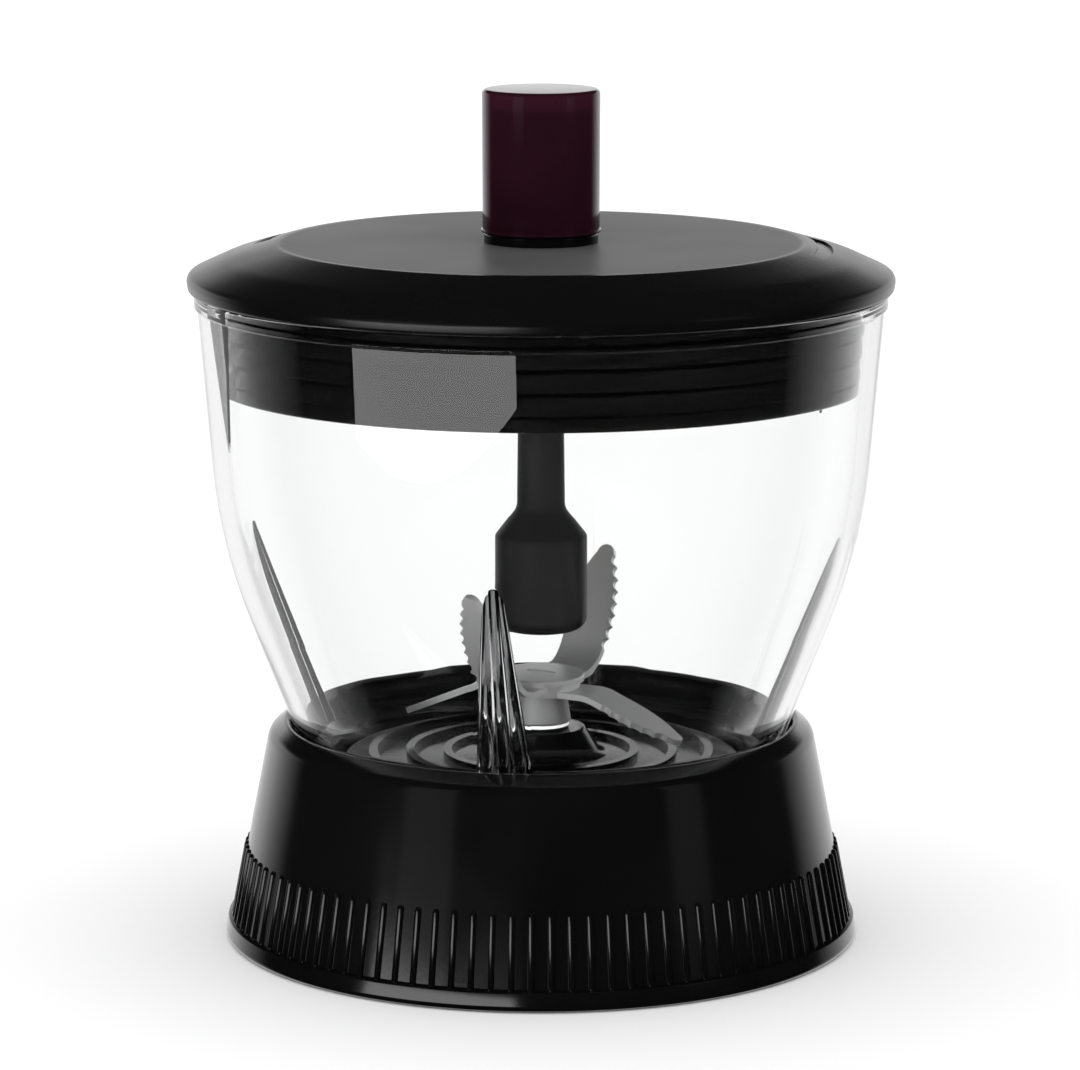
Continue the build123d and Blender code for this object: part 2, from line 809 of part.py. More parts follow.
PIECES = (
    collar_shell, socket_ring, collar_screws,
    blade_carrier, jar_gasket, upper_bush, lower_bush, shaft_seal,
    spindle, drive_coupler, coupler_screw, circlip, lower_washer, thrust_washer,
    blade_spacer, lower_blades, upper_blades, blade_cap,
    jar,
    lid_cover, lid_plug, lid_seal, port_grommet,
    pusher_rod, pusher_oring, pusher_knob,
)


os.makedirs("parts", exist_ok=True)
for piece in PIECES:
    made = piece()
    items = made if isinstance(made, list) else [made]
    bodies = [body for item in items for body in item.solids()]
    whole = bodies[0] if len(bodies) == 1 else Compound(children=bodies)
    export_step(whole, f"parts/{piece.__name__}.step")
    print(piece.__name__, len(bodies), round(sum(body.volume for body in bodies), 1))
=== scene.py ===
"""Looks of a chopper jar for a food processor: clear jar, ribbed collar, sealed lid and pusher."""

from __future__ import annotations

import json
import logging
from dataclasses import dataclass, field
from enum import Enum
from math import acos, atan2, ceil, cos, hypot, pi, radians, sin, tan
from typing import Any, Callable, Sequence

import bpy
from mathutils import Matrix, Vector


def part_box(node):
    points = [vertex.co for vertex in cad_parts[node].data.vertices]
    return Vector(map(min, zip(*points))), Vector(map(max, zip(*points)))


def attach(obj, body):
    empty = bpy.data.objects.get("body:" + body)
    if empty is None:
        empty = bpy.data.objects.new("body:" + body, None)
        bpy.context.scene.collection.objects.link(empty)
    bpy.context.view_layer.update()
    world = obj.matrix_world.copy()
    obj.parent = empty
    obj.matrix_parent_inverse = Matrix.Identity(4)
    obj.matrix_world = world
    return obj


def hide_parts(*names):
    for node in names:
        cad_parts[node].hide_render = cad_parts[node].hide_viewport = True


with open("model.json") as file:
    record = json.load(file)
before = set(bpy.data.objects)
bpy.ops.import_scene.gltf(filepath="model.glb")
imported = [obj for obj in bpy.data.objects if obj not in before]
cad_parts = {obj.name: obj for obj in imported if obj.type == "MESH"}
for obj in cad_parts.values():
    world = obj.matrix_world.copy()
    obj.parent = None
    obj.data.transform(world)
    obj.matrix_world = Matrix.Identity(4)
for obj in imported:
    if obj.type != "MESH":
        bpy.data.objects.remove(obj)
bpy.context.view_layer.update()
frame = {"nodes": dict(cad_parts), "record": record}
LOG = logging.getLogger("chopper_jar")
MM = 0.001
TURN = 2 * pi
MERGE = 0.0005 * MM
CLOUD_SCALE = 38.0  # noise scale of handling marks
GRAIN_SCALE = 1400.0  # noise scale of a moulded grain
GLASS_PASS = (0.96, 0.96, 0.96, 1)  # tint of light that goes straight through the glass
MIX_FIRST, MIX_SECOND, MIX_RESULT = 6, 7, 2  # colour sockets of a Mix node
LIP_ROUNDING_LOSS = 0.234  # millimetres that the lip's rounding takes off the collar's top

Corner = tuple[float, ...]
Colour = tuple[float, float, float]


class Body(Enum):
    """The rigid bodies that pieces ride on."""

    COLLAR = "collar"
    CARRIER = "carrier"
    ROTOR = "rotor"
    JAR = "jar"
    LID = "lid"
    PUSHER = "pusher"


class Grain(Enum):
    """How a moulded surface breaks up its shine."""

    POLISHED = 0.004
    SATIN = 0.02
    SOFT = 0.035


# ---------------------------------------------------------------- shader maths


def feed(tree: bpy.types.NodeTree, entry: bpy.types.NodeSocket, value: Any) -> None:
    """Links a shade into a socket, or sets the socket's plain value."""
    if isinstance(value, Shade):
        tree.links.new(value.socket, entry)
    else:
        entry.default_value = value


class Shade:
    """A shader socket that adds nodes when it is used in arithmetic."""

    def __init__(self, tree: bpy.types.NodeTree, socket: bpy.types.NodeSocket) -> None:
        """Wraps one output socket of a node tree."""
        self.tree = tree
        self.socket = socket

    def _math(self, operation: str, left: Any, right: Any) -> Shade:
        """Adds one Math node.

        Args:
            operation: Name of the Math node's operation.
            left: First value or socket.
            right: Second value or socket.

        Returns:
            The node's result.
        """
        node = self.tree.nodes.new("ShaderNodeMath")
        node.operation = operation
        for entry, value in zip(node.inputs, (left, right)):
            feed(self.tree, entry, value)
        return Shade(self.tree, node.outputs[0])

    def __add__(self, other: Any) -> Shade:
        """Sum."""
        return self._math("ADD", self, other)

    __radd__ = __add__

    def __mul__(self, other: Any) -> Shade:
        """Product."""
        return self._math("MULTIPLY", self, other)

    __rmul__ = __mul__

    def __sub__(self, other: Any) -> Shade:
        """Difference."""
        return self._math("SUBTRACT", self, other)

    def __rsub__(self, other: Any) -> Shade:
        """Reflected difference, so that 1 - mask works."""
        return self._math("SUBTRACT", other, self)

    def __gt__(self, other: Any) -> Shade:
        """One where this value is the greater, else nothing."""
        return self._math("GREATER_THAN", self, other)


class Paint:
    """Builds one node tree, for a material or for the world."""

    def __init__(self, tree: bpy.types.NodeTree) -> None:
        """Empties the tree and keeps it."""
        self.tree = tree
        tree.nodes.clear()

    def node(self, kind: str, output: int | str = 0, **values: Any) -> Shade:
        """Adds a node.

        Args:
            kind: The node's type name.
            output: Which of its outputs is returned.
            values: Socket values or links; an underscore in a name stands for a space.

        Returns:
            The chosen output.
        """
        made = self.tree.nodes.new(kind)
        for name, value in values.items():
            feed(self.tree, made.inputs[name.replace("_", " ")], value)
        return Shade(self.tree, made.outputs[output])

    def place(self, scale: Sequence[float] = (1, 1, 1)) -> Shade:
        """Object coordinates, stretched by a scale."""
        spot = self.node("ShaderNodeTexCoord", "Object")
        return self.node("ShaderNodeMapping", Vector=spot, Scale=scale)

    def noise(self, scale: float, detail: float = 3.0, stretch: Sequence[float] = (1, 1, 1)) -> Shade:
        """Grey noise over the surface."""
        return self.node("ShaderNodeTexNoise", Vector=self.place(stretch), Scale=scale, Detail=detail)

    def span(self, value: Shade, low: float, high: float, start: float = 0.3, stop: float = 0.7) -> Shade:
        """Maps a noise value onto a range."""
        return self.node(
            "ShaderNodeMapRange",
            Value=value, From_Min=start, From_Max=stop, To_Min=low, To_Max=high)

    def mixed(self, factor: Shade, first: Colour, second: Colour) -> Shade:
        """Blends two colours."""
        made = self.tree.nodes.new("ShaderNodeMix")
        made.data_type = "RGBA"
        self.tree.links.new(factor.socket, made.inputs[0])
        made.inputs[MIX_FIRST].default_value = (*first, 1)
        made.inputs[MIX_SECOND].default_value = (*second, 1)
        return Shade(self.tree, made.outputs[MIX_RESULT])

    def length(self, vector: Shade) -> Shade:
        """Length of a vector."""
        made = self.tree.nodes.new("ShaderNodeVectorMath")
        made.operation = "LENGTH"
        self.tree.links.new(vector.socket, made.inputs[0])
        return Shade(self.tree, made.outputs["Value"])

    def axes(self, vector: Shade) -> list[Shade]:
        """The x, y and z parts of a vector."""
        made = self.tree.nodes.new("ShaderNodeSeparateXYZ")
        self.tree.links.new(vector.socket, made.inputs[0])
        return [Shade(self.tree, output) for output in made.outputs]

    def bump(self, height: Shade, distance: float, strength: float = 1.0) -> Shade:
        """Turns a height into a bent normal."""
        return self.node("ShaderNodeBump", Height=height, Distance=distance, Strength=strength)

    def surface(self, clear: Shade | None = None, **values: Any) -> None:
        """Ends the tree in a Principled BSDF.

        Args:
            clear: Where it is one, the surface lets light straight through.
            values: The shader's socket values or links.
        """
        shader = self.node("ShaderNodeBsdfPrincipled", **values)
        if clear is not None:
            mix = self.tree.nodes.new("ShaderNodeMixShader")
            straight = self.node("ShaderNodeBsdfTransparent", Color=GLASS_PASS)
            for entry, part in zip(mix.inputs, (clear, shader, straight)):
                self.tree.links.new(part.socket, entry)
            shader = Shade(self.tree, mix.outputs[0])
        self.end("ShaderNodeOutputMaterial", shader)

    def end(self, kind: str, shader: Shade) -> None:
        """Links a shader to the tree's output node."""
        output = self.tree.nodes.new(kind)
        self.tree.links.new(shader.socket, output.inputs["Surface"])


@dataclass(frozen=True)
class Finish:
    """A finish that can be put on pieces and on CAD nodes."""

    name: str

    def paint(self, paint: Paint) -> None:
        """Builds the finish's nodes."""
        raise NotImplementedError

    def material(self) -> bpy.types.Material:
        """The finish's material, made the first time that it is asked for."""
        made = bpy.data.materials.get(self.name)
        if made is None:
            made = bpy.data.materials.new(self.name)
            made.use_nodes = True
            self.paint(Paint(made.node_tree))
        return made

    def put_on(self, piece: bpy.types.Object) -> None:
        """Replaces a piece's materials with this one."""
        piece.data.materials.clear()
        piece.data.materials.append(self.material())


@dataclass(frozen=True)
class Moulded(Finish):
    """Moulded plastic or silicone, with a faint grain and handling marks."""

    colour: Colour = (0.0022, 0.0022, 0.0024)
    roughness: float = 0.16
    grain: Grain = Grain.POLISHED
    gloss: float = 0.5
    marked: float = 1.6
    rough_span: tuple[float, float] = (0.85, 1.2)

    def paint(self, paint: Paint) -> None:
        """Near-flat colour, roughness that drifts, and a fine moulded grain."""
        cloud = paint.noise(CLOUD_SCALE)
        lighter = tuple(self.marked * channel for channel in self.colour)
        smooth, rough = (self.roughness * share for share in self.rough_span)
        paint.surface(
            Base_Color=paint.mixed(paint.span(cloud, 0.0, 1.0), self.colour, lighter),
            Roughness=paint.span(cloud, smooth, rough),
            Specular_IOR_Level=self.gloss,
            Normal=paint.bump(paint.noise(GRAIN_SCALE), self.grain.value * MM),
        )


@dataclass(frozen=True)
class LidPlastic(Finish):
    """Gloss moulding whose flat top is a rougher satin and carries a painted sheen: its colour is
    lightened to grey to stand for a reflection.
    """

    colour: Colour = (0.0022, 0.0022, 0.0024)
    # painted sheen: grey colour of the flat top, standing in for a reflection
    painted_sheen_grey: Colour = (0.115, 0.115, 0.116)
    edge: tuple[float, float] = (0.0472, 0.0482)
    rubbed_rough: float = 0.14
    flank_rough: tuple[float, float] = (0.24, 0.3)

    def paint(self, paint: Paint) -> None:
        """Satin with a painted grey sheen inside the top's edge, and glossier on the flank."""
        cloud = paint.noise(CLOUD_SCALE)
        top = paint.span(paint.length(paint.place((1, 1, 0))), 1.0, 0.0, *self.edge)
        paint.surface(
            # painted sheen: the top's colour is lightened to grey where a reflection would show
            Base_Color=paint.mixed(top * paint.span(cloud, 0.8, 1.0), self.colour, self.painted_sheen_grey),
            Roughness=top * self.rubbed_rough + paint.span(cloud, *self.flank_rough),
            Normal=paint.bump(paint.noise(GRAIN_SCALE), Grain.POLISHED.value * MM),
        )


@dataclass(frozen=True)
class JarGlass(Finish):
    """Thick clear moulded glass with a slow ripple from its mould."""

    tint: Colour = (0.985, 0.988, 0.988)
    clearer: Colour = (0.995, 0.997, 0.997)

    def paint(self, paint: Paint) -> None:
        """Clear glass whose surface waves gently down the wall."""
        ripple = paint.noise(42.0, 1.0, (1.0, 1.0, 0.22))
        shadow = paint.node("ShaderNodeLightPath", "Is Shadow Ray")
        soft = paint.node("ShaderNodeLightPath", "Is Diffuse Ray")
        paint.surface(
            shadow + soft,
            Base_Color=paint.mixed(paint.span(ripple, 0.0, 1.0), self.tint, self.clearer),
            Roughness=paint.span(ripple, 0.0, 0.012),
            IOR=1.49,
            Transmission_Weight=1.0,
            Normal=paint.bump(ripple, 0.35 * MM, 0.5),
        )


@dataclass(frozen=True)
class TintedClear(Finish):
    """Dark translucent plastic."""

    colour: Colour = (0.046, 0.0102, 0.0216)
    deepened: float = 0.75

    def paint(self, paint: Paint) -> None:
        """Deep tint with a polished skin."""
        cloud = paint.noise(60.0)
        deeper = tuple(self.deepened * channel for channel in self.colour)
        paint.surface(
            Base_Color=paint.mixed(paint.span(cloud, 0.0, 1.0), self.colour, deeper),
            Roughness=paint.span(cloud, 0.06, 0.12),
            IOR=1.49,
            Transmission_Weight=0.55,
            Normal=paint.bump(paint.noise(900.0), 0.004 * MM),
        )


@dataclass(frozen=True)
class GroundMetal(Finish):
    """Ground or turned metal with fine streaks."""

    colour: Colour = (0.56, 0.56, 0.57)
    roughness: float = 0.28
    streak: tuple[float, float, float] = (1.0, 1.0, 14.0)
    metal: float = 1.0
    stained: float = 0.72
    rough_span: tuple[float, float] = (0.75, 1.35)

    def paint(self, paint: Paint) -> None:
        """Metal with streaked roughness and a streaked skin."""
        streaks = paint.noise(260.0, 4.0, self.streak)
        stain = paint.noise(90.0)
        duller = tuple(self.stained * channel for channel in self.colour)
        smooth, rough = (self.roughness * share for share in self.rough_span)
        paint.surface(
            Base_Color=paint.mixed(paint.span(stain, 0.0, 1.0), self.colour, duller),
            Metallic=self.metal,
            Roughness=paint.span(streaks, smooth, rough),
            Normal=paint.bump(streaks, 0.02 * MM),
        )


@dataclass(frozen=True)
class StudioFloor(Finish):
    """Plain white floor."""

    def paint(self, paint: Paint) -> None:
        """Even white with the faintest cloud in it."""
        cloud = paint.noise(2.0)
        paint.surface(
            Base_Color=paint.mixed(cloud, (0.97, 0.97, 0.97), (0.985, 0.985, 0.985)),
            Roughness=0.6,
            Specular_IOR_Level=0.0,
        )


GLOSS_BLACK = Moulded("gloss_black_plastic", roughness=0.13)
LID_BLACK = LidPlastic("lid_black_plastic")
PLUG_BLACK = Moulded("plug_black_plastic", (0.001, 0.001, 0.001), roughness=0.1)
SATIN_BLACK = Moulded("satin_black_plastic", (0.003, 0.003, 0.0031), 0.42, Grain.SATIN, 0.15)
SILICONE = Moulded("black_silicone", (0.001, 0.001, 0.001), 0.14)
NYLON = Moulded("filled_nylon", (0.09, 0.09, 0.092), 0.5, Grain.SOFT)
GLASS = JarGlass("clear_jar_glass")
MAROON = TintedClear("maroon_clear_plastic")
BLADE_STEEL = GroundMetal("blade_steel", (0.85, 0.85, 0.85), 0.36, metal=0.1)
PLATED_STEEL = GroundMetal("plated_steel", (0.7, 0.7, 0.7), 0.34, metal=0.2)
BRONZE = GroundMetal("sintered_bronze", (0.5, 0.33, 0.16), 0.45, (1.0, 1.0, 1.0))
FLOOR_WHITE = StudioFloor("studio_floor")


# ---------------------------------------------------------------- bench work


def clear_selection() -> None:
    """Leaves object mode with nothing selected."""
    if bpy.context.mode != "OBJECT":
        bpy.ops.object.mode_set(mode="OBJECT")
    bpy.ops.object.select_all(action="DESELECT")


def pick(piece: bpy.types.Object) -> None:
    """Makes one piece the only selected one, and the active one."""
    clear_selection()
    piece.select_set(True)
    bpy.context.view_layer.objects.active = piece


def named(piece: bpy.types.Object, name: str) -> bpy.types.Object:
    """Names a piece and its mesh."""
    piece.name = name
    piece.data.name = name
    return piece


def rounded(corners: Sequence[Corner], step: float = radians(7)) -> list[tuple[float, float]]:
    """Points along a closed outline whose corners are rounded by arcs.

    Args:
        corners: (r, z) or (r, z, rounding) corners in millimetres.
        step: Largest turn between two points of an arc.

    Returns:
        The outline's points in metres.
    """
    points = []
    count = len(corners)
    for i, corner in enumerate(corners):
        here = Vector(corner[:2])
        rounding = corner[2] if len(corner) == 3 else 0
        if rounding == 0:
            points.append(here)
            continue
        back = (Vector(corners[i - 1][:2]) - here).normalized()
        ahead = (Vector(corners[(i + 1) % count][:2]) - here).normalized()
        half = acos(max(-1.0, min(1.0, back.dot(ahead)))) / 2
        centre = here + (back + ahead).normalized() * rounding / sin(half)
        first = here + back * rounding / tan(half) - centre
        last = here + ahead * rounding / tan(half) - centre
        turn = (atan2(last.y, last.x) - atan2(first.y, first.x) + pi) % TURN - pi
        pieces = max(2, ceil(abs(turn) / step))
        for k in range(pieces + 1):
            angle = atan2(first.y, first.x) + turn * k / pieces
            points.append(centre + Vector((cos(angle), sin(angle))) * rounding)
    return [(point.x * MM, point.y * MM) for point in points]


def tidy_mesh(piece: bpy.types.Object, angle: float = radians(32)) -> bpy.types.Object:
    """Merges doubles, turns faces outward and smooths all but the sharp edges."""
    pick(piece)
    bpy.ops.object.mode_set(mode="EDIT")
    bpy.ops.mesh.select_all(action="SELECT")
    bpy.ops.mesh.remove_doubles(threshold=MERGE)
    bpy.ops.mesh.normals_make_consistent(inside=False)
    bpy.ops.object.mode_set(mode="OBJECT")
    bpy.ops.object.shade_smooth_by_angle(angle=angle)
    return piece


def loop(name: str, points: Sequence[Sequence[float]]) -> bpy.types.Object:
    """Draws a closed loop of edges, vertex by vertex, and stays in edit mode.

    Args:
        name: Name of the new piece.
        points: The loop's vertices in metres.

    Returns:
        The piece, with its whole loop selected.
    """
    clear_selection()
    bpy.ops.mesh.primitive_plane_add(size=MM, location=(0, 0, 0))
    piece = named(bpy.context.active_object, name)
    bpy.ops.object.mode_set(mode="EDIT")
    bpy.ops.mesh.select_mode(type="VERT")
    bpy.ops.mesh.select_all(action="SELECT")
    bpy.ops.mesh.merge(type="CENTER")
    bpy.ops.transform.translate(value=points[0])
    for here, there in zip(points, [*points[1:], points[0]]):
        bpy.ops.mesh.extrude_region_move(TRANSFORM_OT_translate={"value": Vector(there) - Vector(here)})
    bpy.ops.mesh.select_all(action="SELECT")
    bpy.ops.mesh.remove_doubles(threshold=MERGE)
    bpy.ops.mesh.select_all(action="SELECT")
    return piece


def lathe(name: str, outline: Sequence[tuple[float, float]], steps: int = 180) -> bpy.types.Object:
    """Spins a closed outline round the drive axis.

    Args:
        name: Name of the new piece.
        outline: (r, z) points in metres.
        steps: Number of steps in the full turn.

    Returns:
        The turned piece.
    """
    piece = loop(name, [(radius, 0, height) for radius, height in outline])
    bpy.ops.mesh.spin(steps=steps, angle=TURN, center=(0, 0, 0), axis=(0, 0, 1))
    bpy.ops.object.mode_set(mode="OBJECT")
    return tidy_mesh(piece)


def select_faces(piece: bpy.types.Object, wanted: Callable[[bpy.types.MeshPolygon], bool]) -> None:
    """Selects the faces that a test accepts, and leaves the piece in edit mode."""
    pick(piece)
    bpy.ops.object.mode_set(mode="EDIT")
    bpy.ops.mesh.select_mode(type="FACE")
    bpy.ops.mesh.select_all(action="DESELECT")
    bpy.ops.object.mode_set(mode="OBJECT")
    for face in piece.data.polygons:
        face.select = wanted(face)
    bpy.ops.object.mode_set(mode="EDIT")


def carve(piece: bpy.types.Object, tool: bpy.types.Object, operation: str) -> None:
    """Joins or cuts a tool with a piece, and removes the tool."""
    pick(piece)
    change = piece.modifiers.new("carve", "BOOLEAN")
    change.operation = operation
    change.solver = "EXACT"
    change.object = tool
    bpy.ops.object.modifier_apply(modifier=change.name)
    bpy.data.objects.remove(tool)


def turned_copy(piece: bpy.types.Object, angle: float) -> bpy.types.Object:
    """A copy with its own mesh, turned round the drive axis."""
    twin = piece.copy()
    twin.data = piece.data.copy()
    bpy.context.collection.objects.link(twin)
    pick(twin)
    twin.rotation_euler = (0, 0, angle)
    bpy.ops.object.transform_apply(location=True, rotation=True, scale=True)
    return twin


def around(first: bpy.types.Object, count: int, start: float = 0.0) -> list[bpy.types.Object]:
    """Replaces a piece by copies spaced evenly round the drive axis.

    Args:
        first: The piece, which is removed.
        count: Number of copies in the full turn.
        start: Angle of the first copy.

    Returns:
        The copies, in order.
    """
    copies = [turned_copy(first, start + TURN * i / count) for i in range(count)]
    bpy.data.objects.remove(first)
    return copies


def joined(pieces: Sequence[bpy.types.Object], name: str) -> bpy.types.Object:
    """Several meshes made into one piece."""
    pick(pieces[0])
    for piece in pieces:
        piece.select_set(True)
    bpy.ops.object.join()
    return named(bpy.context.active_object, name)


def fit(piece: bpy.types.Object, body: Body, finish: Finish, slot: str, *nodes: str) -> None:
    """Dresses a piece, sets it on its body and hides the CAD nodes that it stands for."""
    finish.put_on(piece)
    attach(piece, body.value)
    if nodes:
        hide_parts(*nodes)
    LOG.info("%s on %s: %d faces", piece.name, body.value, len(piece.data.polygons))


# ---------------------------------------------------------------- sub-assemblies


@dataclass
class Collar:
    """The ribbed foot."""

    foot_r: float = 59.35
    slope: float = 0.192
    band_h: float = 3.5
    band_step: float = 1.2
    wall: float = 2.4
    lip_r: float = 46.7
    lip_w: float = 1.6
    lip_depth: float = 9.4
    shoulder_drop: float = 2.5
    shoulder_r: float = 3.0
    register_r: float = 54.0
    register_h: float = 9.0
    rib_count: int = 100
    rib_r: float = 0.63
    rib_top: float = 17.1
    rib_foot: float = 0.4
    rib_crease: float = radians(50)
    corner_count: int = 4
    boss_ring: float = 49.0
    boss_r: float = 2.3
    boss_len: float = 18.0
    boss_z: float = 24.0
    boss_wall: float = 0.9
    boss_bore: float = 1.5
    lug_ring: float = 52.7
    lug_z: float = 11.5
    lug_size: tuple[float, float, float] = (3.0, 15.0, 3.0)
    lug_round: float = 0.4
    height: float = field(default_factory=lambda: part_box("collar_shell")[1].z / MM + LIP_ROUNDING_LOSS)

    def wall_r(self, z: float) -> float:
        """Radius of the tapered wall at a height."""
        return self.foot_r - self.band_step - self.slope * z

    def shell(self) -> bpy.types.Object:
        """The cover: plain band, tapered wall, round shoulder and a lip round the jar."""
        edge_z = self.height - self.shoulder_drop
        inner_z = edge_z - self.wall
        return lathe("collar_cover", rounded([
            (self.register_r, 0, 0.3),
            (self.foot_r, 0, 1.0),
            (self.foot_r - self.slope * self.band_h, self.band_h, 0.3),
            (self.wall_r(self.band_h), self.band_h + 0.2, 0.15),
            (self.wall_r(edge_z), edge_z, self.shoulder_r),
            (self.lip_r + 0.8, self.height, 0.8),
            (self.lip_r, self.height - 0.8, 0.3),
            (self.lip_r, self.height - self.lip_depth),
            (self.lip_r + self.lip_w, self.height - self.lip_depth),
            (self.lip_r + self.lip_w, inner_z),
            (self.wall_r(inner_z) - self.wall, inner_z),
            (self.wall_r(self.register_h) - self.wall, self.register_h),
            (self.register_r, self.register_h),
        ]), steps=240)

    def rib(self) -> bpy.types.Object:
        """One half-round grip rib with a rounded top, lying on the wall."""
        top = self.rib_top - self.rib_r
        run = top - self.band_h + self.rib_foot
        clear_selection()
        bpy.ops.mesh.primitive_uv_sphere_add(
            segments=12, ring_count=8, radius=self.rib_r * MM,
            location=(self.wall_r(top) * MM, 0, top * MM))
        rib = bpy.context.active_object
        bpy.ops.object.transform_apply(location=True, rotation=True, scale=True)
        select_faces(rib, lambda face: face.center.z < top * MM)
        bpy.ops.mesh.extrude_region_move(
            TRANSFORM_OT_translate={"value": (self.slope * run * MM, 0, -run * MM)})
        bpy.ops.object.mode_set(mode="OBJECT")
        return rib

    def ribs(self) -> bpy.types.Object:
        """The ribs all round the collar, as one piece."""
        copies = around(self.rib(), self.rib_count, pi / self.rib_count)
        return tidy_mesh(joined(copies, "grip_ribs"), self.rib_crease)

    def boss(self) -> bpy.types.Object:
        """One screw boss, hollowed at its foot."""
        clear_selection()
        bpy.ops.mesh.primitive_cylinder_add(
            vertices=32, radius=self.boss_r * MM, depth=self.boss_len * MM,
            location=(self.boss_ring * MM, 0, self.boss_z * MM))
        boss = bpy.context.active_object
        bpy.ops.object.transform_apply(location=True, rotation=True, scale=True)
        select_faces(boss, lambda face: face.normal.z < -0.9)
        bpy.ops.mesh.inset(thickness=self.boss_wall * MM)
        bpy.ops.transform.translate(value=(0, 0, self.boss_bore * MM))
        bpy.ops.object.mode_set(mode="OBJECT")
        return boss

    def lug(self) -> bpy.types.Object:
        """One motor lug with rounded edges."""
        clear_selection()
        bpy.ops.mesh.primitive_cube_add(size=1, location=(self.lug_ring * MM, 0, self.lug_z * MM))
        lug = bpy.context.active_object
        lug.scale = [side * MM for side in self.lug_size]
        bpy.ops.object.transform_apply(location=True, rotation=True, scale=True)
        bpy.ops.object.mode_set(mode="EDIT")
        bpy.ops.mesh.select_all(action="SELECT")
        bpy.ops.mesh.bevel(offset=self.lug_round * MM, segments=3, affect="EDGES")
        bpy.ops.object.mode_set(mode="OBJECT")
        return lug

    def boss_and_lugs(self) -> bpy.types.Object:
        """Screw bosses and motor lugs on the inside of the cover."""
        bosses = around(self.boss(), self.corner_count)
        lugs = around(self.lug(), self.corner_count, pi / self.corner_count)
        return tidy_mesh(joined([*bosses, *lugs], "collar_bosses"))

    def build(self) -> None:
        """Makes and dresses the collar."""
        fit(self.shell(), Body.COLLAR, GLOSS_BLACK, "black_gloss", "collar_shell")
        fit(self.ribs(), Body.COLLAR, GLOSS_BLACK, "black_gloss")
        fit(self.boss_and_lugs(), Body.COLLAR, GLOSS_BLACK, "black_gloss")


